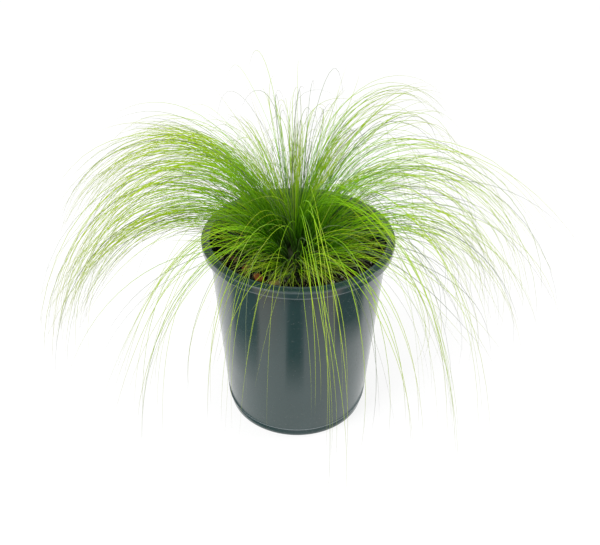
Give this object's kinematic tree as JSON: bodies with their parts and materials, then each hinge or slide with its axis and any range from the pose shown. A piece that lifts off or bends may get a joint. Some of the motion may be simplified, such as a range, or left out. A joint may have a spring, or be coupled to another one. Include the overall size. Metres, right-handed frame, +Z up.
{
  "type": "potted feather grass",
  "caption": "Tuft of fine arching feather-grass leaves growing from a crown in a round glossy plastic nursery pot of potting mix.",
  "frame": {"origin": "middle of the pot's foot, on the surface it stands on", "axes": "+Z up, -Y towards the side that faces the viewer, +X to the viewer's right"},
  "size_m": [0.3551, 0.3308, 0.2508],
  "materials": {
    "pot_plastic": "gloss",
    "potting_mix": "matte",
    "bark": "matte",
    "crown": "matte",
    "leaves": "satin"
  },
  "bodies": {
    "root": {"pot": "pot_plastic", "potting_mix": "potting_mix", "crown": "crown", "bark_chip_tan": "bark", "bark_chip_orange": "bark", "bark_chip_rust": "bark", "bark_chip_brown": "bark", "bark_chip_dark": "bark", "leaf_lock_top_01": "leaves", "leaf_lock_top_02": "leaves", "leaf_lock_top_03": "leaves", "leaf_lock_top_04": "leaves", "leaf_lock_top_05": "leaves", "leaf_lock_top_06": "leaves", "leaf_lock_upper_01": "leaves", "leaf_lock_upper_02": "leaves", "leaf_lock_upper_03": "leaves", "leaf_lock_upper_04": "leaves", "leaf_lock_upper_05": "leaves", "leaf_lock_upper_06": "leaves", "leaf_lock_upper_07": "leaves", "leaf_lock_upper_08": "leaves", "leaf_lock_upper_09": "leaves", "leaf_lock_upper_10": "leaves", "leaf_lock_upper_11": "leaves", "leaf_lock_upper_12": "leaves", "leaf_lock_upper_13": "leaves", "leaf_lock_middle_01": "leaves", "leaf_lock_middle_02": "leaves", "leaf_lock_middle_03": "leaves", "leaf_lock_middle_04": "leaves", "leaf_lock_middle_05": "leaves", "leaf_lock_middle_06": "leaves", "leaf_lock_middle_07": "leaves", "leaf_lock_middle_08": "leaves", "leaf_lock_middle_09": "leaves", "leaf_lock_middle_10": "leaves", "leaf_lock_middle_11": "leaves", "leaf_lock_middle_12": "leaves", "leaf_lock_middle_13": "leaves", "leaf_lock_middle_14": "leaves", "leaf_lock_middle_15": "leaves", "leaf_lock_outer_01": "leaves", "leaf_lock_outer_02": "leaves", "leaf_lock_outer_03": "leaves", "leaf_lock_outer_04": "leaves", "leaf_lock_outer_05": "leaves", "leaf_lock_outer_06": "leaves", "leaf_lock_outer_07": "leaves", "leaf_lock_outer_08": "leaves", "leaf_lock_outer_09": "leaves", "leaf_lock_outer_10": "leaves", "leaf_lock_outer_11": "leaves", "leaf_lock_outer_12": "leaves", "leaf_lock_outer_13": "leaves", "leaf_lock_outer_14": "leaves", "leaf_lock_outer_15": "leaves", "leaf_lock_outer_16": "leaves"}
  },
  "joints": []
}
